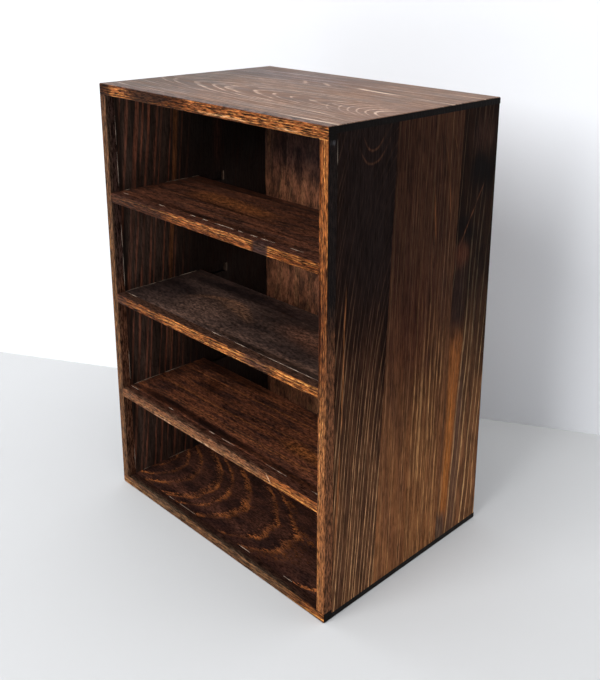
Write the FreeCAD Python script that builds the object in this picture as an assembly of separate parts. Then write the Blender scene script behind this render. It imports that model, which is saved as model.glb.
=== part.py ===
import FreeCAD, Part
import os

# Miniature card catalog: an empty case with four open bays, one over another.
# Thin boards are rabbeted, housed and grooved into each other, and every front edge has a square
# edging strip. Millimetres, +Z up, the front faces -Y, and the origin is the centre of the footprint.

# Outer size of the case
case_width = 207.0
case_depth = 146.05
case_height = 290.5

# Stock: quarter-inch board, and edging strips that are square apart from the taller top one
board = 6.35
edging = 6.35
top_edging_height = 7.1

# Joints: one depth for the rabbets, the shelf housings and the back groove
joint_depth = 2.4
back_groove_setback = 4.6

# The right side is glued up from three staves. Its two seams lean a little, so each has a distance
# behind the case's front at the top and at the bottom of the case.
right_seams = ((53.2, 41.6), (111.2, 102.3))

# Shelves stop half way back, and their housings in the sides run on behind them
bay_count = 4
shelf_depth = 65.15
housing_length = 87.65

# Edges sanded by hand, outside and inside the bays
outer_ease = 0.8
inner_ease = 0.5

# Headless pins, set below the surface, with the spacing of each row of them
pin_diameter = 0.64
pin_length = 12.7
pin_set = 1.0
pin_rows_along_side = (22.0, 68.0, 114.0)
pin_rows_along_shelf = (12.0, 48.0)
pin_rows_across = (-70.0, 0.0, 70.0)

# Places that follow from the sizes above
half_width = case_width / 2
front = -case_depth / 2
rear = case_depth / 2
strip_back = front + edging
wall_inside = half_width - board
wall_middle = half_width - board / 2
housed_half_width = wall_inside + joint_depth
side_bottom = board - joint_depth
side_top = case_height - side_bottom
strip_bottom = case_height - top_edging_height
panel_rear = rear - back_groove_setback
panel_front = panel_rear - board
bay_height = (strip_bottom - bay_count * edging) / bay_count
shelf_names = ("lower_shelf", "middle_shelf", "upper_shelf")
shelf_levels = [edging + bay_height + index * (bay_height + edging) for index in range(bay_count - 1)]


def block(x_range, y_range, z_range):
    """A square-edged solid between two planes on each axis."""
    corner = FreeCAD.Vector(x_range[0], y_range[0], z_range[0])
    return Part.makeBox(x_range[1] - x_range[0], y_range[1] - y_range[0], z_range[1] - z_range[0], corner)


def edge_lies_on(edge, planes):
    """True where the whole edge lies on every plane, each given as an axis letter and a place."""
    tolerance = 0.001
    for vertex in edge.Vertexes:
        for axis, place in planes:
            if abs(getattr(vertex.Point, axis) - place) > tolerance:
                return False
    return True


def ease(solid, radius, *edge_planes):
    """Round over each edge that is named by the two planes that meet there."""
    edges = [edge for edge in solid.Edges if any(edge_lies_on(edge, planes) for planes in edge_planes)]
    return solid.makeFillet(radius, edges)


def ease_along(solid, radius, start, length, along, inward_a, inward_b):
    """Round over part of an edge, from start, where a neighbour covers the rest of it."""
    waste = Part.makeBox(radius, radius, length)
    core = Part.makeCylinder(radius, length, FreeCAD.Vector(radius, radius, 0))
    tool = waste.cut(core)
    turn = FreeCAD.Matrix()
    turn.A11, turn.A21, turn.A31 = inward_a
    turn.A12, turn.A22, turn.A32 = inward_b
    turn.A13, turn.A23, turn.A33 = along
    turn.A14, turn.A24, turn.A34 = start
    return solid.cut(tool.transformGeometry(turn))


def pin(head, direction):
    """One headless pin, from its set-in head along the way it was driven."""
    return Part.makeCylinder(pin_diameter / 2, pin_length, FreeCAD.Vector(*head), FreeCAD.Vector(*direction))


# Pins

def pins_through_board(head_height, direction):
    """Pins through the top or bottom board into the ends of both sides."""
    heads = [(side * wall_middle, strip_back + along, head_height)
             for side in (-1, 1) for along in pin_rows_along_side]
    return [pin(head, direction) for head in heads]


def pins_through_side(side):
    """Pins through one side into the ends of the shelves."""
    head_x = side * (half_width - pin_set)
    heads = [(head_x, strip_back + along, level + board / 2)
             for level in shelf_levels for along in pin_rows_along_shelf]
    return [pin(head, (-side, 0, 0)) for head in heads]


def pins_through_edging():
    """Pins through the edging strips into the boards behind them."""
    head_y = front + pin_set
    across_levels = [edging / 2, case_height - board / 2] + [level + edging / 2 for level in shelf_levels]
    bay_middles = [edging + bay_height / 2 + index * (bay_height + edging) for index in range(bay_count)]
    heads = [(across, head_y, level) for level in across_levels for across in pin_rows_across]
    heads += [(side * wall_middle, head_y, middle) for side in (-1, 1) for middle in bay_middles]
    return [pin(head, (0, 1, 0)) for head in heads]


pins = {
    "top_pins": pins_through_board(case_height - pin_set, (0, 0, -1)),
    "bottom_pins": pins_through_board(pin_set, (0, 0, 1)),
    "left_shelf_pins": pins_through_side(-1),
    "right_shelf_pins": pins_through_side(1),
    "edging_pins": pins_through_edging(),
}


# Boards of the case

def make_cap_board(outer_level, inner_level):
    """Top or bottom board: a rabbet along each end for the sides, and a groove for the back panel."""
    joint_level = inner_level + joint_depth * (1 if outer_level > inner_level else -1)
    solid = block((-half_width, half_width), (strip_back, rear), sorted((outer_level, inner_level)))
    for side in (-1, 1):
        rabbet_x = sorted((side * wall_inside, side * half_width))
        solid = solid.cut(block(rabbet_x, (strip_back, rear), sorted((inner_level, joint_level))))
    groove = block((-wall_inside, wall_inside), (panel_front, panel_rear), sorted((inner_level, joint_level)))
    solid = solid.cut(groove)
    left_edge = (("x", -half_width), ("z", outer_level))
    right_edge = (("x", half_width), ("z", outer_level))
    rear_edge = (("y", rear), ("z", outer_level))
    return ease(solid, outer_ease, left_edge, right_edge, rear_edge)


def make_side(side):
    """Side board: three stopped housings for the shelves, and a groove for the back panel."""
    inner_x = side * wall_inside
    joint_x = side * housed_half_width
    solid = block(sorted((inner_x, side * half_width)), (strip_back, rear), (side_bottom, side_top))
    for level in shelf_levels:
        housing_y = (strip_back, strip_back + housing_length)
        solid = solid.cut(block(sorted((inner_x, joint_x)), housing_y, (level, level + board)))
    solid = solid.cut(block(sorted((inner_x, joint_x)), (panel_front, panel_rear), (side_bottom, side_top)))
    return ease(solid, outer_ease, (("x", side * half_width), ("y", rear)))


def make_stave(side_board, front_seam, rear_seam):
    """One stave of a glued-up side board, between two leaning seams."""
    foot = [(front_seam[1], 0.0), (rear_seam[1], 0.0)]
    head = [(rear_seam[0], case_height), (front_seam[0], case_height)]
    outline = [FreeCAD.Vector(0, front + behind, level) for behind, level in foot + head + foot[:1]]
    prism = Part.Face(Part.makePolygon(outline)).extrude(FreeCAD.Vector(half_width + board, 0, 0))
    return side_board.common(prism)


def make_back_panel():
    """Back panel: one board held all round in the grooves of the case."""
    x_range = (-housed_half_width, housed_half_width)
    return block(x_range, (panel_front, panel_rear), (side_bottom, side_top))


def make_shelf(level):
    """Shelf: its ends sit in the housings of the sides, and its rear edge is free."""
    shelf_rear = strip_back + shelf_depth
    x_range = (-housed_half_width, housed_half_width)
    solid = block(x_range, (strip_back, shelf_rear), (level, level + board))
    for corner_z, inward_z in ((level, 1), (level + board, -1)):
        start = (-wall_inside, shelf_rear, corner_z)
        solid = ease_along(solid, inner_ease, start, 2 * wall_inside, (1, 0, 0), (0, -1, 0), (0, 0, inward_z))
    return solid


# Edging strips

def make_cross_edging(bottom, top, outer_level, inner_level):
    """Full-width strip over or under the bays, eased outside all round and inside along the bay."""
    solid = block((-half_width, half_width), (front, strip_back), (bottom, top))
    left_end = (("x", -half_width), ("y", front))
    right_end = (("x", half_width), ("y", front))
    long_edge = (("y", front), ("z", outer_level))
    end_edges = [(("x", side * half_width), ("z", outer_level)) for side in (-1, 1)]
    solid = ease(solid, outer_ease, left_end, right_end, long_edge, *end_edges)
    inward_z = 1 if outer_level > inner_level else -1
    start = (-wall_inside, front, inner_level)
    return ease_along(solid, inner_ease, start, 2 * wall_inside, (1, 0, 0), (0, 1, 0), (0, 0, inward_z))


def make_upright_edging(side):
    """Upright strip between the two full-width strips, eased inside along each bay."""
    x_range = sorted((side * wall_inside, side * half_width))
    solid = block(x_range, (front, strip_back), (edging, strip_bottom))
    solid = ease(solid, outer_ease, (("x", side * half_width), ("y", front)))
    for index in range(bay_count):
        start = (side * wall_inside, front, edging + index * (bay_height + edging))
        solid = ease_along(solid, inner_ease, start, bay_height, (0, 0, 1), (side, 0, 0), (0, 1, 0))
    return solid


def make_shelf_edging(level):
    """Strip on the front edge of a shelf, between the upright strips."""
    solid = block((-wall_inside, wall_inside), (front, strip_back), (level, level + edging))
    lower_edge = (("y", front), ("z", level))
    upper_edge = (("y", front), ("z", level + edging))
    return ease(solid, inner_ease, lower_edge, upper_edge)


right_side = make_side(1)
right_side_front = (edging, edging)
right_side_rear = (case_depth, case_depth)

pieces = {
    "top_board": make_cap_board(case_height, case_height - board),
    "bottom_board": make_cap_board(0.0, board),
    "left_side": make_side(-1),
    "right_side_front_stave": make_stave(right_side, right_side_front, right_seams[0]),
    "right_side_middle_stave": make_stave(right_side, right_seams[0], right_seams[1]),
    "right_side_rear_stave": make_stave(right_side, right_seams[1], right_side_rear),
    "back_panel": make_back_panel(),
    "top_edging": make_cross_edging(strip_bottom, case_height, case_height, strip_bottom),
    "bottom_edging": make_cross_edging(0.0, edging, 0.0, edging),
    "left_edging": make_upright_edging(-1),
    "right_edging": make_upright_edging(1),
}
for name, level in zip(shelf_names, shelf_levels):
    pieces[name] = make_shelf(level)
    pieces[name + "_edging"] = make_shelf_edging(level)

# Every pin has its own hole in the wood, and each row of pins is one group of separate solids
all_pins = Part.makeCompound([solid for group in pins.values() for solid in group])
for name in pieces:
    pieces[name] = pieces[name].cut(all_pins)
for name, group in pins.items():
    pieces[name] = Part.makeCompound(group)

os.makedirs("parts", exist_ok=True)
for name, shape in pieces.items():
    shape.exportStep("parts/" + name + ".step")
    print(f"{name}: {len(shape.Solids)} solids, {shape.Volume:.1f} mm3, valid {shape.isValid()}")
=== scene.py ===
import math
import bpy
from mathutils import Matrix, Vector


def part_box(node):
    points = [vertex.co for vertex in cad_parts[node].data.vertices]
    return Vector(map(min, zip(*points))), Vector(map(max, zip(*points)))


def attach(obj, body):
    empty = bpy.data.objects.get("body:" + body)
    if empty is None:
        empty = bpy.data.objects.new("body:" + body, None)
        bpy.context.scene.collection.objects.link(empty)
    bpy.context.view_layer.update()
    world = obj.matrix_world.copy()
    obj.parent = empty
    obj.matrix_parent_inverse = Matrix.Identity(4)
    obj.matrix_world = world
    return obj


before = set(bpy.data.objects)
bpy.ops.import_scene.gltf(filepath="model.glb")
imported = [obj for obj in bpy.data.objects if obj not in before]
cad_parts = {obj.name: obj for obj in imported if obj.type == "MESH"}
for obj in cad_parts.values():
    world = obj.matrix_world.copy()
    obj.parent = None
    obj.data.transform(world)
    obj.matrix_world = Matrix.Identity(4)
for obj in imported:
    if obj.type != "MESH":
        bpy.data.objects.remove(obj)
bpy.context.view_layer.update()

# Bottom board. A thin softwood board, its grain across the case, which is the floor of the lowest bay.
# It is glued up under the sides in rabbets. It was cut flat, so its growth rings show as bold nested arcs,
# and its dark stain sank into the soft early wood and left the hard late wood of each ring a bright orange.
LEFT_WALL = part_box("left_side")[1].x * 1000
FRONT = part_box("bottom_edging")[0].y * 1000
BASE_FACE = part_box("bottom_edging")[1].z * 1000
END_GRAIN = "#0e0a08"
OUTSIDE_STAIN = "#3c291d"
STRAIGHT = (0, 0, 0)
FRONTWARD = (0, -1, 0)
UNCHANGED = (1, 1, 1, 1)
# Noise runs from 0 to 1, but nearly all of it lies between these
LOW_NOISE = 0.36
HIGH_NOISE = 0.64


def linear(hex_colour):
    """An sRGB hex colour as the linear colour that a shader takes."""
    parts = [int(hex_colour[start:start + 2], 16) / 255 for start in (1, 3, 5)]
    return [part / 12.92 if part <= 0.04045 else ((part + 0.055) / 1.055) ** 2.4 for part in parts] + [1.0]


def add(tree, kind, settings, inputs):
    """Add one shader node with its settings, and with a value or a link on each input."""
    node = tree.nodes.new("ShaderNode" + kind)
    for name, value in settings.items():
        setattr(node, name, value)
    for name, value in inputs.items():
        if isinstance(value, bpy.types.NodeSocket):
            tree.links.new(value, node.inputs[name])
        else:
            node.inputs[name].default_value = value
    return node


def empty_material(name):
    """A new material with nothing in it yet, and its node tree."""
    material = bpy.data.materials.new(name)
    material.use_nodes = True
    material.node_tree.nodes.clear()
    return material, material.node_tree


def beside_line(tree, place, start, end, bend):
    """How far along a bent line each point lies, from 0 to 1, and how far from it in millimetres."""
    way = Vector(end) - Vector(start)
    measure = way / way.length_squared
    here = add(tree, "VectorMath", {"operation": "SUBTRACT"}, {0: place, 1: start}).outputs["Vector"]
    along = add(tree, "VectorMath", {"operation": "DOT_PRODUCT"}, {0: here, 1: measure}).outputs["Value"]
    left = add(tree, "Math", {"operation": "MULTIPLY_ADD"}, {0: along, 1: -4.0, 2: 4.0}).outputs[0]
    arch = add(tree, "Math", {"operation": "MULTIPLY"}, {0: along, 1: left}).outputs[0]
    straight = add(tree, "VectorMath", {"operation": "SCALE"}, {0: way, "Scale": along}).outputs["Vector"]
    bowed = add(tree, "VectorMath", {"operation": "SCALE"}, {0: bend, "Scale": arch}).outputs["Vector"]
    point = add(tree, "VectorMath", {"operation": "ADD"}, {0: straight, 1: bowed}).outputs["Vector"]
    gap = add(tree, "VectorMath", {"operation": "DISTANCE"}, {0: here, 1: point}).outputs["Value"]
    return along, gap


def mark_mask(tree, place, start, end, widths, bend, softness):
    """A mark in the stain or grain along a bent line: 1 in its middle, 0 outside, with its ends drawn out."""
    along, gap = beside_line(tree, place, start, end, bend)
    half = add(tree, "MapRange", {}, {"Value": along, "To Min": widths[0] / 2, "To Max": widths[1] / 2})
    share = add(tree, "Math", {"operation": "DIVIDE"}, {0: gap, 1: half.outputs[0]}).outputs[0]
    side = add(tree, "MapRange", {"interpolation_type": "SMOOTHSTEP"},
               {"Value": share, "From Min": 1 + softness, "From Max": 1 - softness}).outputs[0]
    middle = add(tree, "Math", {"operation": "SUBTRACT"}, {0: along, 1: 0.5}).outputs[0]
    off_middle = add(tree, "Math", {"operation": "ABSOLUTE"}, {0: middle}).outputs[0]
    ends = add(tree, "MapRange", {"interpolation_type": "SMOOTHSTEP"},
               {"Value": off_middle, "From Min": 0.5, "From Max": 0.5 - 0.45 * softness}).outputs[0]
    return add(tree, "Math", {"operation": "MULTIPLY"}, {0: side, 1: ends}).outputs[0]


def stretched(tree, place, grain, across, along):
    """Places squeezed so that a pattern drawn on them is long with the grain and narrow across it."""
    scale = [1 / along if axis == grain else 1 / across for axis in "xyz"]
    return add(tree, "VectorMath", {"operation": "MULTIPLY"}, {0: place, 1: scale}).outputs["Vector"]


def late_wood(tree, place, heart, bend, ring, line, ragged, fray):
    """The hard late wood of each ring round the tree's heart: a line with one soft and one sharp side.

    The years noise makes some rings wider than others. line is where in a year the late wood begins, is full
    and ends, from 0 to 1.
    """
    distance = beside_line(tree, place, heart[0], heart[1], bend)[1]
    rings = add(tree, "Math", {"operation": "DIVIDE"}, {0: distance, 1: ring}).outputs[0]
    growth = add(tree, "TexNoise", {"noise_dimensions": "1D"}, {"W": rings, "Scale": 0.6, "Detail": 2.0})
    years = add(tree, "Math", {"operation": "MULTIPLY_ADD"},
                {0: growth.outputs["Fac"], 1: 1.6, 2: rings}).outputs[0]
    frayed = add(tree, "Math", {"operation": "MULTIPLY_ADD"}, {0: fray, 1: ragged, 2: years}).outputs[0]
    season = add(tree, "Math", {"operation": "FRACT"}, {0: frayed}).outputs[0]
    rise = add(tree, "MapRange", {"interpolation_type": "SMOOTHSTEP"},
               {"Value": season, "From Min": line[0], "From Max": line[1]}).outputs[0]
    fall = add(tree, "MapRange", {"interpolation_type": "SMOOTHSTEP"},
               {"Value": season, "From Min": 1.0, "From Max": line[2]}).outputs[0]
    return add(tree, "Math", {"operation": "MULTIPLY"}, {0: rise, 1: fall}).outputs[0]


def shaded(tree, colour, place, inside, shades):
    """The colour darkened along lines, where the stain went deeper and where shade is painted."""
    for start, end, widths, bend, softness, kept_share in shades:
        mark = mark_mask(tree, place, start, end, widths, bend, softness)
        mark = add(tree, "Math", {"operation": "MULTIPLY", "use_clamp": True},
                   {0: mark, 1: inside}).outputs[0]
        kept = add(tree, "Mix", {"data_type": "RGBA"},
                   {0: mark, 6: UNCHANGED, 7: (*kept_share, 1)}).outputs[2]
        colour = add(tree, "VectorMath", {"operation": "MULTIPLY"}, {0: colour, 1: kept}).outputs["Vector"]
    return colour


def streaked(tree, colour, place, inside, streaks, fray):
    """The colour with single streaks and grain lines over it, frayed by the fibres."""
    for start, end, widths, bend, softness, hex_colour, strength in streaks:
        mark = mark_mask(tree, place, start, end, widths, bend, softness)
        mark = add(tree, "Math", {"operation": "MULTIPLY", "use_clamp": True},
                   {0: mark, 1: inside}).outputs[0]
        patchy = add(tree, "Math", {"operation": "MULTIPLY_ADD"}, {0: fray, 1: 1.1, 2: strength}).outputs[0]
        share = add(tree, "Math", {"operation": "MULTIPLY", "use_clamp": True},
                    {0: mark, 1: patchy}).outputs[0]
        colour = add(tree, "Mix", {"data_type": "RGBA"},
                     {0: share, 6: colour, 7: linear(hex_colour)}).outputs[2]
    return colour


def facing(tree, source, direction):
    """How squarely each face looks in a direction, 1 where it looks straight that way."""
    return add(tree, "VectorMath", {"operation": "DOT_PRODUCT"},
               {0: source.outputs["Normal"], 1: direction}).outputs["Value"]


def stained_wood(name, grain, colours, heart, ring, line_share, fibres, seed, shine, shades, streaks=(),
                 line=(0.62, 0.86, 0.95), bend=STRAIGHT, wander=1.0, ragged=0.4, pores=(0.9, 4.0, 0.35),
                 blotch=(40.0, 7.0, 0.7), sides=None, inward=None):
    """Stained softwood: rings round the tree's heart, fibres and pores along the grain, stain in blotches.

    Every size is in millimetres. colours are the ground, the blotches and the late wood. heart is the line of
    the tree's heart, bend its bow, ring a year's growth, and line_share how strongly the late wood shows at
    its faintest and boldest. wander and ragged bend and fray the rings. fibres and pores are width, length
    and strength, and blotch is length, width and strength.
    A shade is its start and end, its width at both, its bow, the softness of its edge, and the share that it
    leaves of each colour. A streak has its own colour and strength in place of that share.
    sides is the colour of every face but the front one, where that one was sanded back. inward is the way the
    face in the bays looks: only that face takes the marks. Where it is given, the colours are lifted as
    painted light for the dim bays, and the other faces are mixed back towards a plainer dark stain.
    """
    ground, blotch_colour, late_colour = colours
    material, tree = empty_material(name)
    source = add(tree, "TexCoord", {}, {})
    exact = add(tree, "VectorMath", {"operation": "SCALE"},
                {0: source.outputs["Object"], "Scale": 1000.0}).outputs["Vector"]
    own = add(tree, "VectorMath", {"operation": "ADD"}, {0: exact, 1: (seed, seed, seed)}).outputs["Vector"]

    # No line of the wood runs quite straight: all of them drift together, slowly along the grain
    drift = add(tree, "TexNoise", {},
                {"Vector": stretched(tree, own, grain, 16.0, 70.0), "Scale": 1.0, "Detail": 2.0})
    centred = add(tree, "VectorMath", {"operation": "SUBTRACT"},
                  {0: drift.outputs["Color"], 1: (0.5, 0.5, 0.5)}).outputs["Vector"]
    shift = add(tree, "VectorMath", {"operation": "SCALE"},
                {0: centred, "Scale": wander * 4}).outputs["Vector"]
    place = add(tree, "VectorMath", {"operation": "ADD"}, {0: exact, 1: shift}).outputs["Vector"]
    nearby = add(tree, "VectorMath", {"operation": "SCALE"}, {0: centred, "Scale": 5.0}).outputs["Vector"]
    mark_place = add(tree, "VectorMath", {"operation": "ADD"}, {0: exact, 1: nearby}).outputs["Vector"]

    # Fibres, which also fray the edges of everything drawn after them. A real fibre is too fine to show,
    # so these are as wide as a bundle of them
    fibre = add(tree, "TexNoise", {},
                {"Vector": stretched(tree, own, grain, fibres[0], fibres[1]),
                 "Scale": 1.0, "Detail": 3.0, "Roughness": 0.7}).outputs["Fac"]
    fray = add(tree, "Math", {"operation": "SUBTRACT"}, {0: fibre, 1: 0.5}).outputs[0]

    # Growth rings, bolder in some stretches than in others
    late = late_wood(tree, place, heart, bend, ring, line, ragged, fray)
    uneven = add(tree, "TexNoise", {},
                 {"Vector": stretched(tree, own, grain, ring * 1.3, 90.0), "Scale": 1.0, "Detail": 3.0})
    power = add(tree, "MapRange", {"interpolation_type": "SMOOTHSTEP"},
                {"Value": uneven.outputs["Fac"], "From Min": LOW_NOISE, "From Max": HIGH_NOISE,
                 "To Min": line_share[0], "To Max": line_share[1]}).outputs[0]
    late_share = add(tree, "Math", {"operation": "MULTIPLY"}, {0: late, 1: power}).outputs[0]

    # Stain, deeper in blotches that follow the grain, and held back by the late wood
    deep = add(tree, "TexNoise", {},
               {"Vector": stretched(tree, own, grain, blotch[1], blotch[0]),
                "Scale": 1.0, "Detail": 4.0, "Roughness": 0.6}).outputs["Fac"]
    depth = add(tree, "MapRange", {"interpolation_type": "SMOOTHSTEP"},
                {"Value": deep, "From Min": 0.38, "From Max": HIGH_NOISE, "To Max": blotch[2]}).outputs[0]
    colour = add(tree, "Mix", {"data_type": "RGBA"},
                 {0: depth, 6: linear(ground), 7: linear(blotch_colour)}).outputs[2]
    colour = add(tree, "Mix", {"data_type": "RGBA"},
                 {0: late_share, 6: colour, 7: linear(late_colour)}).outputs[2]

    # Faces away from the bays lose the painted light of the lifted colours; faces stained in another way
    inside = 1.0
    if inward:
        inside = facing(tree, source, inward)
        outside = add(tree, "Mix", {"data_type": "RGBA"},
                      {0: 0.6, 6: colour, 7: linear(OUTSIDE_STAIN)}).outputs[2]
        colour = add(tree, "Mix", {"data_type": "RGBA"}, {0: inside, 6: outside, 7: colour}).outputs[2]
    colour = shaded(tree, colour, mark_place, inside, shades)
    if sides:
        front = facing(tree, source, FRONTWARD)
        turned_away = add(tree, "MapRange", {"interpolation_type": "SMOOTHSTEP"},
                          {"Value": front, "From Min": 0.85, "From Max": 0.5}).outputs[0]
        colour = add(tree, "Mix", {"data_type": "RGBA"},
                     {0: turned_away, 6: colour, 7: linear(sides)}).outputs[2]
    colour = streaked(tree, colour, mark_place, inside, streaks, fray)

    # Fibres lighter and darker than each other, and short pores full of stain between them
    tone = add(tree, "MapRange", {}, {"Value": fibre, "From Min": LOW_NOISE, "From Max": HIGH_NOISE,
                                      "To Min": 1 - fibres[2], "To Max": 1 + fibres[2]}).outputs[0]
    pore = add(tree, "TexNoise", {},
               {"Vector": stretched(tree, own, grain, pores[0], pores[1]), "Scale": 1.0, "Detail": 2.0})
    open_pore = add(tree, "MapRange", {"interpolation_type": "SMOOTHSTEP"},
                    {"Value": pore.outputs["Fac"], "From Min": 0.5, "From Max": HIGH_NOISE,
                     "To Min": 1.0, "To Max": 1 - pores[2]}).outputs[0]
    both = add(tree, "Math", {"operation": "MULTIPLY"}, {0: tone, 1: open_pore}).outputs[0]
    colour = add(tree, "VectorMath", {"operation": "SCALE"}, {0: colour, "Scale": both}).outputs["Vector"]

    # End grain, which drinks the stain and comes out nearly black
    slope = facing(tree, source, {"x": (1, 0, 0), "z": (0, 0, 1)}[grain])
    steep = add(tree, "Math", {"operation": "ABSOLUTE"}, {0: slope}).outputs[0]
    end_face = add(tree, "MapRange", {"interpolation_type": "SMOOTHSTEP"},
                   {"Value": steep, "From Min": 0.55, "From Max": 0.95}).outputs[0]
    colour = add(tree, "Mix", {"data_type": "RGBA"},
                 {0: end_face, 6: colour, 7: linear(END_GRAIN)}).outputs[2]

    # Satin varnish, so thin that the fibres and the ridges of late wood stand up through it, 0.15 mm high
    height = add(tree, "Math", {"operation": "MULTIPLY_ADD"}, {0: late, 1: 0.5, 2: fibre}).outputs[0]
    relief = add(tree, "Bump", {}, {"Height": height, "Strength": 0.4, "Distance": 0.00015})
    dull = add(tree, "MapRange", {},
               {"Value": deep, "From Min": 0.3, "From Max": 0.7, "To Min": 0.46, "To Max": 0.34})
    shader = add(tree, "BsdfPrincipled", {},
                 {"Base Color": colour, "Roughness": dull.outputs[0], "Normal": relief.outputs[0],
                  "IOR": 1.5, "Specular IOR Level": shine})
    add(tree, "OutputMaterial", {}, {"Surface": shader.outputs[0]})
    return material


def dress(node_names, material):
    """Give CAD nodes a finish."""
    for node_name in node_names:
        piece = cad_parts[node_name]
        piece.data.materials.clear()
        piece.data.materials.append(material)


bottom_wood = stained_wood(
    "stained_pine_flat_cut", "x", ("#4c2f25", "#231817", "#b66c3a"),
    heart=((LEFT_WALL, -42.0, BASE_FACE - 34.0), (-LEFT_WALL, -46.0, BASE_FACE - 76.0)), bend=(0, 0, -8.0),
    ring=5.5, line=(0.66, 0.86, 0.95), line_share=(0.15, 0.9), ragged=1.2, blotch=(30.0, 8.0, 0.8),
    fibres=(0.8, 3.0, 0.65), pores=(0.9, 2.4, 0.55), seed=11.0, shine=0.06,
    shades=[
        # Painted shade at the rear, and dark behind the strip
        ((LEFT_WALL, 40.0, BASE_FACE), (-LEFT_WALL, 40.0, BASE_FACE), (80.0, 80.0),
         STRAIGHT, 0.5, (0.3, 0.3, 0.35)),
        ((LEFT_WALL, -64.0, BASE_FACE), (-LEFT_WALL, -64.0, BASE_FACE), (9.0, 12.0),
         STRAIGHT, 0.6, (0.5, 0.5, 0.55)),
    ])
dress(["bottom_board"], bottom_wood)

# Back panel. One board with upright grain, held all round in the grooves of the case.
# It lies deep in the shade of the bays, mottled where the stain took unevenly.
PANEL_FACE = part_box("back_panel")[0].y * 1000
# Its colours are lifted as painted light for the dim bays, and its back face is mixed back to a plainer stain
back_wood = stained_wood(
    "stained_pine_back", "z", ("#955f44", "#3f2b22", "#bd885c"),
    heart=((-30.0, 140.0, 0.0), (-20.0, 150.0, 290.0)), ring=4.5, line_share=(0.1, 0.35), wander=2.0,
    blotch=(18.0, 7.0, 0.85), fibres=(0.9, 5.0, 0.5), pores=(1.0, 3.5, 0.5), seed=23.0, shine=0.2,
    inward=FRONTWARD,
    shades=[
        # Painted shade: the top bay is the darkest
        ((20.0, PANEL_FACE, 340.0), (20.0, PANEL_FACE, 200.0), (300.0, 300.0),
         STRAIGHT, 0.5, (0.24, 0.3, 0.48)),
        ((70.0, PANEL_FACE, 300.0), (70.0, PANEL_FACE, 200.0), (90.0, 90.0), STRAIGHT, 0.5, (0.76, 0.8, 0.9)),
    ],
    streaks=[
        ((-92.0, PANEL_FACE, 292.0), (-93.0, PANEL_FACE, 216.0), (4.0, 3.0), STRAIGHT, 0.5, "#8a6044", 0.5),
    ])
dress(["back_panel"], back_wood)

# Left side. One board with upright grain, stopped housings for the shelves in its inner face.
# Cut nearly on the quarter, so its rings run as reddish upright lines that lean a little forward at the foot.
# The housings run on behind the shelves, and dry glue is left in their ends.
HOUSING_END = 21.2
UPPER, MIDDLE, LOWER = (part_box(name)[1].z * 1000 for name in ("upper_shelf", "middle_shelf", "lower_shelf"))
# Its colours are lifted as painted light for the dim bays, and its outer face is mixed back to a plainer
# stain
left_wood = stained_wood(
    "stained_pine_left_side", "z", ("#57453c", "#2e2622", "#c27354"),
    heart=((LEFT_WALL, -130.0, 0.0), (LEFT_WALL, -100.0, 290.0)), ring=5.6, line=(0.45, 0.75, 0.88),
    line_share=(0.1, 0.6), fibres=(0.9, 20.0, 0.45), seed=37.0, shine=0.2, inward=(1, 0, 0),
    shades=[
        ((LEFT_WALL, -66.0, 330.0), (LEFT_WALL, -66.0, -20.0), (7.0, 7.0), STRAIGHT, 0.5, (0.3, 0.3, 0.3)),
    ],
    streaks=[
        # Painted shade, grey, behind the shelves, one pale and one brown upright streak, and the dry glue
        ((LEFT_WALL, 37.0, 400.0), (LEFT_WALL, 27.0, -120.0), (100.0, 96.0), STRAIGHT, 0.3, "#332d2b", 1.0),
        ((LEFT_WALL, -15.5, 310.0), (LEFT_WALL, -34.0, 80.0), (4.5, 3.0), STRAIGHT, 0.5, "#9c6238", 0.6),
        ((LEFT_WALL, 17.0, 280.0), (LEFT_WALL, 15.0, 214.0), (6.0, 6.0), STRAIGHT, 0.9, "#5c3a30", 0.5),
    ] + [
        ((LEFT_WALL, HOUSING_END, level - 7.0), (LEFT_WALL, HOUSING_END, level + 1.0), (2.0, 2.0),
         STRAIGHT, 0.4, "#b5a08c", 0.8)
        for level in (UPPER, MIDDLE, LOWER)
    ])
dress(["left_side"], left_wood)
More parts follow.
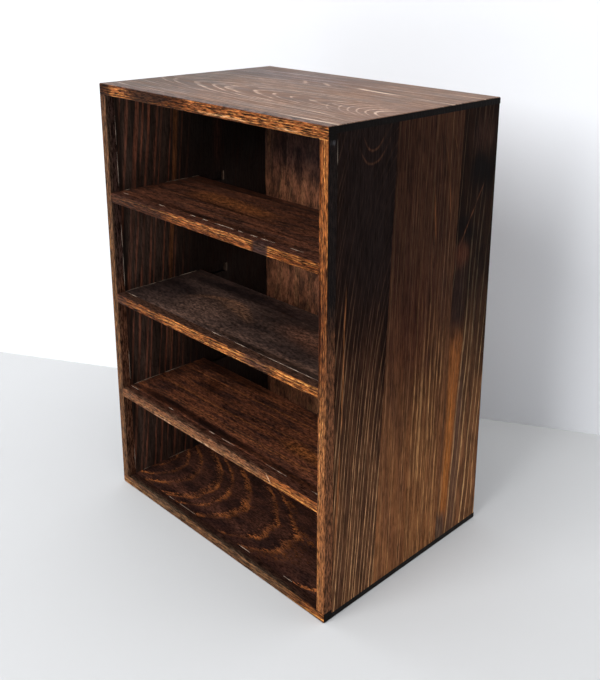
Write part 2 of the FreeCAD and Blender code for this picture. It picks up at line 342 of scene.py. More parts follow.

# Right side. Three staves with upright grain, glued edge to edge along two slightly leaning seams.
# Each comes from another tree, so their figures don't meet. They are nearly black at their heads and
# lighter at their feet, partly stain and partly painted shade; the late wood stands out as fine pale lines.
SIDE_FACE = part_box("right_side_front_stave")[1].x * 1000
STAVE_LINES = (0.68, 0.86, 0.95)
front_stave = stained_wood(
    "stained_pine_front_stave", "z", ("#6c4831", "#432b20", "#d8a472"),
    heart=((SIDE_FACE, -20.0, 0.0), (SIDE_FACE - 60, 3.0, 290.0)), bend=(20, 0, 0), ring=3.0, wander=0.5,
    line=STAVE_LINES, line_share=(0.4, 0.95), ragged=0.2, shine=0.01, fibres=(0.7, 13.0, 0.48),
    pores=(0.7, 7.0, 0.35), seed=41.0,
    shades=[
        # Dark head, partly stain and partly painted shade, its rear side, and the black seam by the strip
        ((SIDE_FACE, -45.0, 430.0), (SIDE_FACE, -43.0, 30.0), (160.0, 110.0),
         STRAIGHT, 0.9, (0.19, 0.18, 0.23)),
        ((SIDE_FACE, -45.0, 430.0), (SIDE_FACE, -34.0, 130.0), (140.0, 60.0),
         STRAIGHT, 0.8, (0.5, 0.45, 0.45)),
        ((SIDE_FACE, -21.0, 380.0), (SIDE_FACE, -28.0, 40.0), (14.0, 6.0), STRAIGHT, 0.7, (0.55, 0.52, 0.52)),
        ((SIDE_FACE, -66.4, 330.0), (SIDE_FACE, -66.4, -40.0), (0.9, 0.9), STRAIGHT, 0.6, (0.15, 0.15, 0.15)),
    ],
    streaks=[
        # The head again, partly stain and partly painted shade, glue in the seam, four leaning lines,
        # and the arcs at the top
        ((SIDE_FACE, -50.0, 350.0), (SIDE_FACE, -36.0, 150.0), (80.0, 30.0), STRAIGHT, 0.8, "#1e1614", 0.85),
        ((SIDE_FACE, -66.4, 285.0), (SIDE_FACE, -66.5, 270.0), (0.8, 0.6), STRAIGHT, 0.5, "#9a8b7c", 0.6),
        ((SIDE_FACE, -66.5, 268.0), (SIDE_FACE, -66.5, 255.0), (0.6, 0.4), STRAIGHT, 0.5, "#9a8b7c", 0.5),
        ((SIDE_FACE, -65.5, 20.0), (SIDE_FACE, -57.5, 222.0), (1.5, 0.8), STRAIGHT, 0.6, "#a86a3f", 0.6),
        ((SIDE_FACE, -62.0, 50.0), (SIDE_FACE, -26.0, 252.0), (1.5, 0.7), (0, -9, 0), 0.6, "#9c6238", 0.55),
        ((SIDE_FACE, -56.0, 150.0), (SIDE_FACE, -25.0, 240.0), (1.0, 0.7), (0, -4, 0), 0.6, "#583722", 0.5),
        ((SIDE_FACE, -60.0, 286.0), (SIDE_FACE, -20.0, 284.0), (1.6, 1.6), (0, 0, -27), 0.8, "#6a4430", 0.5),
        ((SIDE_FACE, -55.0, 286.0), (SIDE_FACE, -24.0, 285.0), (1.4, 1.4), (0, 0, -19), 0.8, "#6a4430", 0.45),
        ((SIDE_FACE, -49.0, 286.0), (SIDE_FACE, -29.0, 285.0), (1.4, 1.4), (0, 0, -12), 0.8, "#6a4430", 0.45),
    ])
middle_stave = stained_wood(
    "stained_pine_middle_stave", "z", ("#8d5c3a", "#69422d", "#d09a66"),
    heart=((SIDE_FACE, -100.0, 0.0), (SIDE_FACE, -91.1, 290.0)), ring=3.6, wander=0.5,
    line=STAVE_LINES, line_share=(0.15, 0.7), ragged=0.2, shine=0.01, fibres=(0.7, 13.0, 0.4),
    pores=(0.7, 7.0, 0.35), seed=53.0,
    shades=[
        # The dark head, partly stain and partly painted shade, and redder wood below its middle
        ((SIDE_FACE, 3.0, 440.0), (SIDE_FACE, 3.0, 20.0), (190.0, 150.0), STRAIGHT, 0.9, (0.24, 0.25, 0.33)),
        ((SIDE_FACE, 3.0, 440.0), (SIDE_FACE, 3.0, 150.0), (160.0, 120.0), STRAIGHT, 0.8, (0.62, 0.6, 0.6)),
        ((SIDE_FACE, 0.0, 220.0), (SIDE_FACE, -4.0, 110.0), (34.0, 40.0), STRAIGHT, 0.9, (0.78, 0.67, 0.68)),
        ((SIDE_FACE, 14.0, 210.0), (SIDE_FACE, 12.0, -60.0), (50.0, 50.0), STRAIGHT, 0.8, (0.88, 0.85, 0.8)),
    ],
    streaks=[
        # Pale lines up from the foot, red-brown lines all over, and three bolder ones at the top
        ((SIDE_FACE, 3.5 + 3.5 * row, 215.0 - 16 * (row % 3)), (SIDE_FACE, -1.0 + 3.4 * row, -70.0),
         (0.8, 1.1), STRAIGHT, 0.85, "#d09a62", 0.36 + 0.1 * (row % 3))
        for row in range(8)
    ] + [
        ((SIDE_FACE, -12.0 + 4.1 * row, 330.0), (SIDE_FACE, -14.0 + 4.1 * row, 90.0),
         (0.9, 0.8), (0, 2, 0), 0.8, "#66402e", 0.1 + 0.12 * (row % 3))
        for row in range(11)
    ] + [
        ((SIDE_FACE, 20.0, 276.0), (SIDE_FACE, 30.0, 200.0), (1.2, 0.8), (0, 3, 0), 0.6, "#84512f", 0.55),
        ((SIDE_FACE, 28.0, 276.0), (SIDE_FACE, 37.0, 236.0), (1.3, 0.8), (0, 2, 0), 0.6, "#94603c", 0.6),
        ((SIDE_FACE, 13.0, 250.0), (SIDE_FACE, 20.0, 170.0), (1.0, 0.8), STRAIGHT, 0.6, "#84512f", 0.5),
    ])
rear_stave = stained_wood(
    "stained_pine_rear_stave", "z", ("#8a5b3b", "#523626", "#eab67c"),
    heart=((SIDE_FACE, 95.0, -40.0), (SIDE_FACE, 118.0, 330.0)), ring=5.2, wander=1.3,
    line=STAVE_LINES, line_share=(0.5, 1.0), ragged=0.2, shine=0.01, fibres=(0.7, 13.0, 0.4),
    pores=(0.7, 7.0, 0.35), seed=67.0,
    shades=[
        # The dark head, partly stain and partly painted shade, and the rear edge
        ((SIDE_FACE, 55.0, 440.0), (SIDE_FACE, 55.0, 20.0), (170.0, 130.0), STRAIGHT, 0.9, (0.1, 0.12, 0.17)),
        ((SIDE_FACE - 6, 76.0, 400.0), (SIDE_FACE - 6, 76.0, -120.0), (14.5, 14.5),
         STRAIGHT, 0.3, (0.4, 0.35, 0.35)),
        ((SIDE_FACE, 55.0, 440.0), (SIDE_FACE, 55.0, 150.0), (150.0, 90.0),
         STRAIGHT, 0.8, (0.55, 0.47, 0.45)),
    ],
    streaks=[
        # Black patches by a knot, an orange band along the seam, grey at the foot, and two leaning lines
        ((SIDE_FACE, 44.0, 274.0), (SIDE_FACE, 74.0, 264.0), (18.0, 20.0), STRAIGHT, 0.9, "#3d2820", 0.6),
        ((SIDE_FACE, 34.0, 206.0), (SIDE_FACE, 50.0, 190.0), (12.0, 14.0), STRAIGHT, 0.9, "#5a3324", 0.6),
        ((SIDE_FACE, 42.0, 252.0), (SIDE_FACE, 74.0, 236.0), (16.0, 24.0), (0, 0, 6), 0.7, "#0f0b0a", 0.9),
        ((SIDE_FACE, 38.0, 226.0), (SIDE_FACE, 54.0, 202.0), (15.0, 9.0), STRAIGHT, 0.8, "#0f0b0a", 0.8),
        ((SIDE_FACE, 42.0, 200.0), (SIDE_FACE, 40.5, 130.0), (11.0, 9.0), STRAIGHT, 0.8, "#2c1d19", 0.75),
        ((SIDE_FACE, 41.5, 158.0), (SIDE_FACE, 34.5, -4.0), (13.0, 7.0), (0, 1, 0), 0.4, "#90552b", 0.7),
        ((SIDE_FACE, 39.5, 128.0), (SIDE_FACE, 35.0, 6.0), (6.0, 4.0), (0, 1, 0), 0.8, "#bc7132", 0.42),
        ((SIDE_FACE, 34.0, 26.0), (SIDE_FACE, 34.0, -14.0), (8.0, 12.0), STRAIGHT, 0.5, "#4a3f3a", 0.7),
        ((SIDE_FACE, 50.0, 140.0), (SIDE_FACE, 44.5, -30.0), (4.0, 11.0), STRAIGHT, 0.6, "#5a4034", 0.7),
        ((SIDE_FACE, 36.0, 200.0), (SIDE_FACE, 64.0, 246.0), (1.5, 0.8), (0, 1, -1), 0.6, "#6b4330", 0.6),
        ((SIDE_FACE, 44.0, 186.0), (SIDE_FACE, 74.0, 256.0), (1.5, 0.8), (0, 1, -3), 0.6, "#6b4330", 0.6),
    ])
dress(["right_side_front_stave"], front_stave)
dress(["right_side_middle_stave"], middle_stave)
dress(["right_side_rear_stave"], rear_stave)

# Shelves. Three short boards with the grain across the case, their ends glued into the housings.
# Each was stained on its own: warm red-brown, greyish dark brown and orange-brown, from top to bottom.
SHELF_FIBRES = (0.8, 3.2, 0.7)
SHELF_PORES = (0.9, 2.4, 0.6)
upper_shelf_wood = stained_wood(
    "stained_pine_upper_shelf", "x", ("#5a3424", "#33221d", "#845236"),
    heart=((-104.0, -110.0, 180.0), (104.0, -100.0, 180.0)), ring=6.0, wander=2.0, line_share=(0.1, 0.4),
    seed=71.0, fibres=SHELF_FIBRES, pores=SHELF_PORES, blotch=(30.0, 5.0, 0.9), shine=0.18,
    shades=[
        # Painted shade along the rear edge, dark behind the strip, and two dark lines between
        ((-110.0, -4.0, UPPER), (10.0, -5.0, UPPER), (18.0, 6.0), STRAIGHT, 0.8, (0.4, 0.38, 0.38)),
        ((-110.0, -63.5, UPPER), (110.0, -63.5, UPPER), (6.0, 5.0), STRAIGHT, 0.7, (0.35, 0.32, 0.3)),
        ((-80.0, -40.5, UPPER), (50.0, -43.0, UPPER), (2.2, 1.6), STRAIGHT, 0.7, (0.4, 0.35, 0.3)),
        ((-50.0, -52.5, UPPER), (90.0, -54.0, UPPER), (1.6, 1.6), STRAIGHT, 0.7, (0.5, 0.45, 0.4)),
    ],
    streaks=[((-74.0, -30.0, UPPER), (34.0, -35.0, UPPER), (15.0, 11.0), STRAIGHT, 0.7, "#8e532b", 0.5)])
middle_shelf_wood = stained_wood(
    "stained_pine_middle_shelf", "x", ("#4c3a33", "#29201e", "#755646"),
    heart=((-104.0, -40.0, 90.0), (104.0, -30.0, 90.0)), ring=7.0, wander=3.0, line_share=(0.1, 0.4),
    seed=83.0, blotch=(40.0, 11.0, 0.8), fibres=(0.9, 3.5, 0.7), pores=(1.0, 2.6, 0.55), shine=0.2,
    shades=[
        # Painted shade at the rear, dark at the left end, two dark lines, and the seam behind the strip
        ((-110.0, -8.0, MIDDLE), (110.0, -12.0, MIDDLE), (16.0, 12.0), STRAIGHT, 0.6, (0.5, 0.5, 0.55)),
        ((-110.0, -44.0, MIDDLE), (-50.0, -32.0, MIDDLE), (60.0, 16.0), STRAIGHT, 0.8, (0.55, 0.57, 0.62)),
        ((-80.0, -16.5, MIDDLE), (90.0, -18.5, MIDDLE), (1.6, 1.6), (0, 2, 0), 0.8, (0.35, 0.33, 0.33)),
        ((-60.0, -22.5, MIDDLE), (90.0, -24.5, MIDDLE), (1.4, 1.4), (0, 3, 0), 0.8, (0.45, 0.43, 0.43)),
        ((-20.0, -64.0, MIDDLE), (110.0, -64.0, MIDDLE), (3.5, 4.0), STRAIGHT, 0.6, (0.3, 0.28, 0.26)),
    ],
    streaks=[
        # Browner patches where the grey stain was rubbed thin
        ((-68.0, -46.0, MIDDLE), (0.0, -44.0, MIDDLE), (34.0, 34.0), STRAIGHT, 0.9, "#75584a", 0.35),
        ((-66.0, -44.0, MIDDLE), (4.0, -42.0, MIDDLE), (4.0, 6.0), (0, 17, 0), 0.9, "#9a6a4c", 0.4),
        ((-44.0, -30.0, MIDDLE), (10.0, -44.0, MIDDLE), (5.0, 6.0), (0, 3, 0), 0.9, "#8a6146", 0.35),
        ((10.0, -30.0, MIDDLE), (104.0, -34.0, MIDDLE), (10.0, 26.0), STRAIGHT, 0.9, "#86553e", 0.4),
    ])
lower_shelf_wood = stained_wood(
    "stained_pine_lower_shelf", "x", ("#643926", "#321f1b", "#945a2e"),
    heart=((-104.0, -140.0, 60.0), (104.0, -138.0, 60.0)), ring=3.4, wander=0.9, line_share=(0.1, 0.45),
    seed=97.0, fibres=SHELF_FIBRES, pores=SHELF_PORES, blotch=(26.0, 5.0, 0.95), shine=0.18,
    shades=[
        # Dark behind the strip, painted shade along the rear edge, and one slanting patch
        ((-110.0, -62.0, LOWER), (60.0, -63.5, LOWER), (7.0, 4.0), STRAIGHT, 0.5, (0.22, 0.2, 0.2)),
        ((30.0, -64.0, LOWER), (110.0, -64.0, LOWER), (4.0, 5.0), STRAIGHT, 0.6, (0.3, 0.28, 0.26)),
        ((-110.0, -4.0, LOWER), (0.0, -6.0, LOWER), (16.0, 6.0), STRAIGHT, 0.8, (0.35, 0.33, 0.33)),
        ((-66.0, -16.0, LOWER), (-42.0, -36.0, LOWER), (14.0, 8.0), STRAIGHT, 0.9, (0.45, 0.42, 0.4)),
    ],
    streaks=[((26.0, -40.0, LOWER), (92.0, -43.0, LOWER), (10.0, 6.0), STRAIGHT, 0.9, "#a35f2c", 0.45)])
dress(["upper_shelf"], upper_shelf_wood)
dress(["middle_shelf"], middle_shelf_wood)
dress(["lower_shelf"], lower_shelf_wood)

# Top board. A flat-cut board with the grain across the case, rabbeted over both sides.
# The tree's heart ran up through it near the right end, so its rings are pale nested loops that close there,
# under a thin satin varnish that greys the brown stain a little. The greyed brown and the paleness of the
# lines are partly painted sheen.
TOP_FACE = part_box("top_board")[1].z * 1000
RIGHT_END = 104.0
PALE_LINE = "#c8ac97"
# A bright line, also used as a painted highlight along the front edge
BRIGHT_LINE_AND_HIGHLIGHT = "#e2c8b2"
top_wood = stained_wood(
    "stained_pine_top", "x", ("#6c4f3e", "#4c3a31", PALE_LINE),
    heart=((-104.0, -20.0, TOP_FACE - 35.0), (135.0, -20.0, TOP_FACE)), ring=2.7, line=(0.6, 0.86, 0.95),
    line_share=(0.1, 0.75), wander=0.8, ragged=0.25, shine=0.03, seed=103.0, fibres=(0.8, 18.0, 0.4),
    pores=(0.8, 8.0, 0.3),
    shades=[
        # The rear and the left end, the edge of the slanting line, the seam behind the strip, and two bows
        ((-150.0, 44.0, TOP_FACE), (60.0, 50.0, TOP_FACE), (60.0, 30.0), STRAIGHT, 0.9, (0.72, 0.78, 0.95)),
        ((-160.0, -20.0, TOP_FACE), (-30.0, -20.0, TOP_FACE), (240.0, 110.0),
         STRAIGHT, 0.9, (0.62, 0.66, 0.68)),
        ((10.0, 39.5, TOP_FACE), (130.0, 27.0, TOP_FACE), (2.0, 2.0), STRAIGHT, 0.7, (0.5, 0.5, 0.5)),
        ((-130.0, -66.2, TOP_FACE), (130.0, -66.2, TOP_FACE), (1.0, 1.0), STRAIGHT, 0.6, (0.35, 0.35, 0.35)),
        ((10.0, -54.0, TOP_FACE), (120.0, -61.0, TOP_FACE), (1.6, 1.6), (0, 8, 0), 0.7, (0.6, 0.58, 0.58)),
        ((30.0, -47.0, TOP_FACE), (120.0, -52.0, TOP_FACE), (1.4, 1.4), (0, 9, 0), 0.7, (0.65, 0.62, 0.62)),
    ],
    streaks=[
        ((54.0, -20.0, TOP_FACE), (170.0, -24.0, TOP_FACE), (40.0, 60.0), STRAIGHT, 0.5, "#6e5243", 0.8),
    ] + [
        # Nested loops round the heart, fainter and longer outwards
        ((RIGHT_END, rear, TOP_FACE), (RIGHT_END, front, TOP_FACE), (width, width), (-reach, 0, 0), 0.6,
         PALE_LINE, strength)
        for rear, front, width, reach, strength in (
            (-10.0, -34.0, 2.0, 14, 0.8), (-5.0, -38.0, 1.4, 21, 0.6), (0.0, -41.0, 1.4, 28, 0.5),
            (4.0, -44.0, 1.4, 35, 0.4), (8.0, -47.0, 1.4, 42, 0.35), (14.0, -51.0, 1.4, 52, 0.25))
    ] + [
        # The long slanting line and the short ones left of it, and the lines that run along the front: the
        # first of them is a painted highlight on the front edge
        ((18.0, 34.0, TOP_FACE), (66.0, 30.5, TOP_FACE), (2.6, 2.0), STRAIGHT, 0.7, BRIGHT_LINE_AND_HIGHLIGHT, 0.7),
        ((50.0, 31.0, TOP_FACE), (124.0, 26.0, TOP_FACE), (1.6, 1.2), STRAIGHT, 0.7, PALE_LINE, 0.6),
        ((-28.0, 36.0, TOP_FACE), (-13.0, 24.0, TOP_FACE), (2.4, 2.0), STRAIGHT, 0.9, PALE_LINE, 0.4),
        ((-11.0, 37.0, TOP_FACE), (8.0, 26.0, TOP_FACE), (2.4, 2.0), STRAIGHT, 0.9, PALE_LINE, 0.5),
        ((50.0, -68.0, TOP_FACE), (112.0, -66.5, TOP_FACE), (3.0, 5.0), STRAIGHT, 0.8, BRIGHT_LINE_AND_HIGHLIGHT, 0.5),
        ((0.0, -50.0, TOP_FACE), (112.0, -60.0, TOP_FACE), (1.6, 1.6), (0, 9, 0), 0.6, PALE_LINE, 0.65),
        ((20.0, -57.0, TOP_FACE), (100.0, -66.0, TOP_FACE), (1.4, 1.4), (0, 6, 0), 0.6, PALE_LINE, 0.5),
    ])
dress(["top_board"], top_wood)

# Edging strips. Square softwood strips glued over every front edge and sanded flush with the boards.
# Their front faces were sanded back to orange wood, with dark stain left in the pores. The other faces
# kept the dark stain of the boards beside them.
STRIP_HEART = FRONT - 60


def middle(node_name):
    """The middle of a CAD node's box, in millimetres."""
    low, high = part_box(node_name)
    return (low + high) * 500


TOP_STRIP = middle("top_edging").z
UPPER_STRIP = middle("upper_shelf_edging").z
MIDDLE_STRIP = middle("middle_shelf_edging").z
LOWER_STRIP = middle("lower_shelf_edging").z
BOTTOM_STRIP = middle("bottom_edging").z
LEFT_STRIP = middle("left_edging").x
RIGHT_STRIP = middle("right_edging").x
# A wide streak along a line outside a strip tints only the face that is nearest to it
BEFORE_FRONT = FRONT - 9
BEYOND_SIDE = SIDE_FACE + 9
WITHIN_BAY = LEFT_WALL + 8


def strip_wood(name, grain, seed, sides, shades, streaks, pores=(0.6, 5.5, 0.72), blotch=(10.0, 2.0, 0.8)):
    """The wood of one edging strip, lighter and finer than the boards."""
    heart = {
        "x": ((-110.0, STRIP_HEART, 40.0), (110.0, STRIP_HEART - 2, 44.0)),
        "z": ((0.0, STRIP_HEART, 0.0), (2.0, STRIP_HEART - 2, 290.0)),
    }[grain]
    return stained_wood(name, grain, ("#98562a", "#44271a", "#e8a256"), heart=heart, ring=1.5,
                        line_share=(0.1, 0.75), ragged=0.9, blotch=blotch, fibres=(0.6, 4.5, 0.8),
                        pores=pores, seed=seed, sides=sides, shades=shades, streaks=streaks, shine=0.03)


dress(["top_edging"], strip_wood("stained_pine_top_strip", "x", 113.0, "#604a3f", shades=[
    ((-76.0, FRONT, TOP_STRIP), (-4.0, FRONT, TOP_STRIP), (30.0, 28.0), STRAIGHT, 0.5, (0.3, 0.28, 0.28)),
    ((-200.0, FRONT, TOP_STRIP), (220.0, FRONT, TOP_STRIP), (30.0, 28.0), STRAIGHT, 0.3, (0.84, 0.82, 0.88)),
    ((-130.0, FRONT, TOP_STRIP), (-88.0, FRONT, TOP_STRIP), (30.0, 28.0), STRAIGHT, 0.3, (0.25, 0.24, 0.26)),
], streaks=[
    ((-78.0, FRONT, 286.0), (-26.0, FRONT, 288.0), (9.0, 5.0), STRAIGHT, 0.6, "#2c1c14", 0.6),
    # A painted highlight along the lower edge of the strip
    ((-10.0, FRONT, 284.3), (104.0, FRONT, 284.3), (0.9, 0.9), STRAIGHT, 0.7, "#d8a878", 0.6),
], pores=(0.7, 6.0, 0.8), blotch=(9.0, 2.0, 0.9)))
dress(["upper_shelf_edging"], strip_wood("stained_pine_upper_strip", "x", 131.0, "#45291f", shades=[
    ((-150.0, FRONT, UPPER_STRIP), (-22.0, FRONT, UPPER_STRIP), (30.0, 24.0), STRAIGHT, 0.4,
     (0.28, 0.26, 0.3)),
    ((42.0, FRONT, UPPER_STRIP), (59.0, FRONT, UPPER_STRIP), (18.0, 18.0), STRAIGHT, 0.5, (0.25, 0.24, 0.3)),
    ((56.0, FRONT, UPPER_STRIP), (110.0, FRONT, UPPER_STRIP), (30.0, 30.0), STRAIGHT, 0.5, (0.55, 0.5, 0.47)),
    ((-60.0, FRONT, UPPER_STRIP), (60.0, FRONT, UPPER_STRIP), (30.0, 30.0), STRAIGHT, 0.6, (0.75, 0.73, 0.8)),
], streaks=[
    ((-130.0, FRONT, 215.6), (-30.0, FRONT, 216.6), (13.0, 7.0), STRAIGHT, 0.6, "#2f1f1b", 0.4),
    ((44.5, FRONT, UPPER_STRIP), (58.5, FRONT, UPPER_STRIP), (12.0, 12.0), STRAIGHT, 0.3, "#2f2220", 0.7),
    ((-44.0, FRONT, 213.4), (-27.0, FRONT, 218.6), (0.7, 0.5), (0, 0, -1.4), 0.6, "#c09070", 0.7),
]))
dress(["middle_shelf_edging"], strip_wood("stained_pine_middle_strip", "x", 149.0, "#3c281f", shades=[
    ((-150.0, FRONT, MIDDLE_STRIP), (-24.0, FRONT, MIDDLE_STRIP), (24.0, 24.0), STRAIGHT, 0.6,
     (0.5, 0.46, 0.5)),
    ((28.0, FRONT, MIDDLE_STRIP), (66.0, FRONT, MIDDLE_STRIP), (24.0, 24.0), STRAIGHT, 0.7, (0.5, 0.5, 0.6)),
], streaks=[
    ((-130.0, FRONT, MIDDLE_STRIP), (-78.0, FRONT, MIDDLE_STRIP), (10.0, 7.0), STRAIGHT, 0.6, "#35241f", 0.6),
    ((30.0, FRONT, 146.0), (62.0, FRONT, 144.0), (8.0, 7.0), STRAIGHT, 0.7, "#3a2a26", 0.5),
]))
dress(["lower_shelf_edging"], strip_wood("stained_pine_lower_strip", "x", 163.0, "#3c231a", shades=[
    ((-150.0, FRONT, LOWER_STRIP), (66.0, FRONT, LOWER_STRIP), (24.0, 24.0), STRAIGHT, 0.2, (0.6, 0.57, 0.6)),
], streaks=[
    ((-150.0, BEFORE_FRONT, LOWER_STRIP), (70.0, BEFORE_FRONT, LOWER_STRIP), (21.0, 21.0), STRAIGHT, 0.3,
     "#7e624c", 0.35),
    # A painted highlight along the lower edge of the strip
    ((-70.0, FRONT, 72.0), (20.0, FRONT, 72.0), (1.0, 1.0), STRAIGHT, 0.7, "#d8ac88", 0.5),
    ((54.0, FRONT, 77.6), (59.0, FRONT, 70.4), (1.2, 0.8), STRAIGHT, 0.5, "#e0b490", 0.7),
]))
dress(["bottom_edging"], strip_wood("stained_pine_bottom_strip", "x", 179.0, "#2b1a14", shades=[
    ((-130.0, FRONT, BOTTOM_STRIP), (130.0, FRONT, BOTTOM_STRIP), (24.0, 24.0), STRAIGHT, 0.6,
     (0.42, 0.42, 0.44)),
], streaks=[
    ((-150.0, BEFORE_FRONT, BOTTOM_STRIP), (90.0, BEFORE_FRONT, BOTTOM_STRIP), (21.0, 21.0), STRAIGHT, 0.3,
     "#5f5140", 0.45),
]))
dress(["left_edging"], strip_wood("stained_pine_left_strip", "z", 191.0, "#4a352f", shades=[
    ((LEFT_STRIP, FRONT, 340.0), (LEFT_STRIP, FRONT, -50.0), (24.0, 24.0), STRAIGHT, 0.4, (0.5, 0.5, 0.55)),
    ((LEFT_STRIP, FRONT, 340.0), (LEFT_STRIP, FRONT, 190.0), (24.0, 24.0), STRAIGHT, 0.6, (0.88, 0.76, 0.8)),
], streaks=[
    ((LEFT_STRIP, BEFORE_FRONT, 340.0), (LEFT_STRIP, BEFORE_FRONT, -50.0), (21.0, 21.0), STRAIGHT, 0.3,
     "#5e4c38", 0.5),
    ((WITHIN_BAY, FRONT + 7, 170.0), (WITHIN_BAY, FRONT + 7, -120.0), (21.0, 21.0), STRAIGHT, 0.15,
     "#7a4c32", 0.45),
]))
dress(["right_edging"], strip_wood("stained_pine_right_strip", "z", 211.0, "#1c1310", shades=[
    ((RIGHT_STRIP, FRONT, 240.0), (RIGHT_STRIP, FRONT, 110.0), (24.0, 24.0), STRAIGHT, 0.9,
     (0.45, 0.42, 0.48)),
    # A painted shade along the strip's inner edge, next to the bays
    ((97.6, FRONT, 330.0), (97.6, FRONT, 110.0), (1.6, 1.6), STRAIGHT, 0.5, (0.35, 0.3, 0.3)),
], streaks=[
    ((RIGHT_STRIP, BEFORE_FRONT, 170.0), (RIGHT_STRIP, BEFORE_FRONT, -110.0), (21.0, 21.0), STRAIGHT, 0.5,
     "#9c7450", 0.3),
    ((BEYOND_SIDE, FRONT + 6, 200.0), (BEYOND_SIDE, FRONT + 6, -140.0), (22.0, 24.0), STRAIGHT, 0.3,
     "#764a2f", 1.0),
    # A painted glint: a short grey dash on the outer face near the top
    ((SIDE_FACE, FRONT + 1, 282.4), (SIDE_FACE, FRONT + 6, 281.8), (2.4, 2.4), STRAIGHT, 0.6, "#565559", 0.5),
]))

# Dried glue. White glue came out of the seams as fine beads and took no stain, so it shows pale. It lies
# behind the strips on the shelves and the bottom board, along the left ends of the shelves, and in the
# upright seam beside the left strip. Places along a seam and thicknesses are in millimetres.
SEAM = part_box("top_board")[0].y * 1000
SHELF_BEAD = 0.33
WALL_BEAD = 0.6
UPRIGHT_BEAD = 0.4
shelf_seams = {
    UPPER: [(-92, -86), (-52, -46), (-20, -14), (-8, -2), (4, 22), (25, 30), (36, 42), (45, 57), (69, 80)],
    MIDDLE: [(-93, -82), (-2, 8), (20, 32), (40, 94)],
    LOWER: [(-97, -86), (-52, -46), (-8, -2), (5, 18), (47, 66), (86, 93)],
    BASE_FACE: [(-56, -50), (-44, -26), (20, 31), (62, 70)],
}
wall_seams = {
    UPPER: [(-62, -58), (-30, -10), (-7, -1)],
    MIDDLE: [(-66, -50), (-50, -24), (-22, -6)],
    LOWER: [(-64, -40), (-38, -18)],
    BASE_FACE: [(-60, -54), (-38, -20)],
}
upright_seam = [(222, 246), (250, 270), (152, 176), (180, 196), (82, 104), (10, 30)]
beads = []


def glue_bead(start, end, thickness, cuts):
    """A thin spindle along a seam, with the part that would lie inside the wood cut away at each plane."""
    start, end = Vector(start), Vector(end)
    way = end - start
    bpy.ops.object.select_all(action="DESELECT")
    bpy.ops.mesh.primitive_uv_sphere_add(segments=10, ring_count=24, radius=0.0005,
                                         location=(start + end) / 2000,
                                         rotation=way.to_track_quat("Z", "Y").to_euler(),
                                         scale=(thickness, thickness, way.length))
    bead = bpy.context.object
    bpy.ops.object.transform_apply(location=True, rotation=True, scale=True)
    bpy.ops.object.mode_set(mode="EDIT")
    bpy.ops.mesh.select_all(action="SELECT")
    bpy.ops.transform.vertex_random(offset=thickness * 0.00015, seed=len(beads))
    for direction, level in cuts:
        bpy.ops.mesh.select_all(action="SELECT")
        bpy.ops.mesh.bisect(plane_co=Vector(direction) * level / 1000, plane_no=direction, use_fill=True,
                            clear_inner=True)
    bpy.ops.object.mode_set(mode="OBJECT")
    bpy.ops.object.shade_smooth()
    beads.append(bead)


for level, places in shelf_seams.items():
    for left, right in places:
        glue_bead((left, SEAM, level), (right, SEAM, level), SHELF_BEAD, [((0, 0, 1), level)])
for level, places in wall_seams.items():
    for near_end, far_end in places:
        glue_bead((LEFT_WALL, near_end, level), (LEFT_WALL, far_end, level), WALL_BEAD,
                  [((0, 0, 1), level), ((1, 0, 0), LEFT_WALL)])
for low, high in upright_seam:
    glue_bead((LEFT_WALL, SEAM, low), (LEFT_WALL, SEAM, high), UPRIGHT_BEAD, [((1, 0, 0), LEFT_WALL)])
bpy.ops.object.select_all(action="DESELECT")
for bead in beads:
    bead.select_set(True)
bpy.context.view_layer.objects.active = beads[0]
bpy.ops.object.join()
dried_glue = bpy.context.object
dried_glue.name = "dried_glue"

# Dried wood glue is pale and half glossy, with stain smeared over it in patches about 5 mm long
glue_look, glue_tree = empty_material("dried_wood_glue")
glue_place = add(glue_tree, "TexCoord", {}, {}).outputs["Object"]
smears = add(glue_tree, "TexNoise", {}, {"Vector": glue_place, "Scale": 220.0, "Detail": 3.0}).outputs["Fac"]
stained_share = add(glue_tree, "MapRange", {},
                    {"Value": smears, "From Min": 0.4, "From Max": 0.65}).outputs[0]
glue_colour = add(glue_tree, "Mix", {"data_type": "RGBA"},
                  {0: stained_share, 6: linear("#ad9a88"), 7: linear("#5a463a")}).outputs[2]
glue_shader = add(glue_tree, "BsdfPrincipled", {}, {"Base Color": glue_colour, "Roughness": 0.3})
add(glue_tree, "OutputMaterial", {}, {"Surface": glue_shader.outputs[0]})
dried_glue.data.materials.clear()
dried_glue.data.materials.append(glue_look)
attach(dried_glue, "root")

# Pins. Bright drawn steel wire, headless, driven below the surface and filled over.
# Nothing of them shows outside the wood. Drawing leaves the wire bright, with marks about 0.1 mm apart.
pin_steel, pin_tree = empty_material("bright_drawn_steel")
pin_place = add(pin_tree, "TexCoord", {}, {}).outputs["Object"]
draw_marks = add(pin_tree, "TexNoise", {}, {"Vector": pin_place, "Scale": 9000.0}).outputs["Fac"]
pin_dull = add(pin_tree, "MapRange", {}, {"Value": draw_marks, "To Min": 0.25, "To Max": 0.4}).outputs[0]
pin_shader = add(pin_tree, "BsdfPrincipled", {},
                 {"Base Color": linear("#a9a9ab"), "Metallic": 1.0, "Roughness": pin_dull})
add(pin_tree, "OutputMaterial", {}, {"Surface": pin_shader.outputs[0]})
dress(["top_pins", "bottom_pins", "left_shelf_pins", "right_shelf_pins", "edging_pins"], pin_steel)

# Stage. A pale table and a pale wall behind it, which runs away to the rear on the right.
# The wall is only seen from its front, so that the case can be looked at from behind.
WALL_POINT = (0.0294, 0.192, 0)
WALL_TURN = math.radians(29.2)
STAGE_SIZE = 6.0


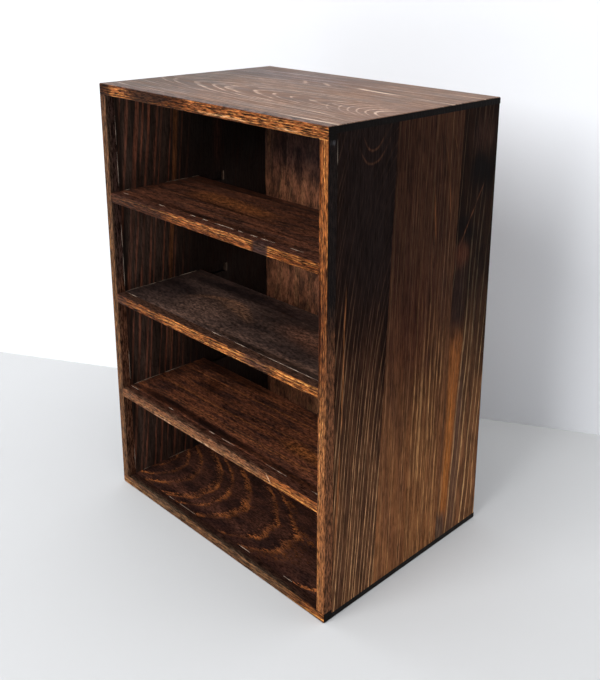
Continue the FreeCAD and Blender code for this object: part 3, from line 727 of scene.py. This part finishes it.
def stage_plane(name, colour, location, rotation):
    """A large matt plane, outside the object."""
    bpy.ops.object.select_all(action="DESELECT")
    bpy.ops.mesh.primitive_plane_add(size=STAGE_SIZE, location=location, rotation=rotation)
    plane = bpy.context.object
    plane.name = name
    material, tree = empty_material(name + "_paint")
    paint = add(tree, "BsdfDiffuse", {}, {"Color": linear(colour)})
    clear = add(tree, "BsdfTransparent", {}, {})
    behind = add(tree, "NewGeometry", {}, {}).outputs["Backfacing"]
    both = add(tree, "MixShader", {}, {0: behind, 1: paint.outputs[0], 2: clear.outputs[0]})
    add(tree, "OutputMaterial", {}, {"Surface": both.outputs[0]})
    plane.data.materials.append(material)


stage_plane("table_top", "#bfc0c1", (0, 0, 0), (0, 0, 0))
stage_plane("wall", "#f2f4f8", WALL_POINT, (math.radians(90), 0, WALL_TURN))

# Light. One large soft window in front, a bright ceiling, and a dim even room round them.
# The window lights the bays and the front, and the ceiling the top.


def soft_light(name, location, width, height, watts):
    """A large area light, shining straight down until it is turned."""
    bpy.ops.object.light_add(type="AREA", location=location)
    lamp = bpy.context.object
    lamp.name = name
    lamp.data.shape = "RECTANGLE"
    lamp.data.size = width
    lamp.data.size_y = height
    lamp.data.energy = watts
    return lamp


window = soft_light("window", (-0.25, -3.1, 2.0), 2.4, 2.4, 132.0)
window.rotation_euler = (Vector((0, 0, 0.12)) - window.location).to_track_quat("-Z", "Y").to_euler()
soft_light("ceiling_light", (0.15, -0.1, 2.2), 2.6, 2.0, 55.0)
world = bpy.data.worlds.new("room")
bpy.context.scene.world = world
world.use_nodes = True
world.node_tree.nodes.clear()
air = add(world.node_tree, "Background", {}, {"Color": linear("#f4f6fa"), "Strength": 0.15})
add(world.node_tree, "OutputWorld", {}, {"Surface": air.outputs[0]})

# Camera. It stands where the photograph was taken from, looking down on the right front corner.
# The shifts put the case at the same place in the picture.
CAMERA_PLACE = Vector((0.402842, -0.376514, 0.368774))
AZIMUTH = math.radians(44.1358)
ELEVATION = math.radians(16.6014)
ROLL = math.radians(0.7019)
FOCAL_LENGTH = 47.096
SHIFT_ACROSS = -0.0511
SHIFT_UP = -0.1717
bpy.ops.object.camera_add(location=CAMERA_PLACE)
camera = bpy.context.object
camera.name = "camera"
turned = Matrix.Rotation(AZIMUTH, 3, "Z") @ Matrix.Rotation(math.pi / 2 - ELEVATION, 3, "X")
camera.rotation_euler = (turned @ Matrix.Rotation(ROLL, 3, "Z")).to_euler()
camera.data.lens = FOCAL_LENGTH
camera.data.shift_x = SHIFT_ACROSS
camera.data.shift_y = SHIFT_UP
camera.data.clip_start = 0.01
bpy.context.scene.camera = camera
bpy.context.scene.view_settings.view_transform = "Standard"
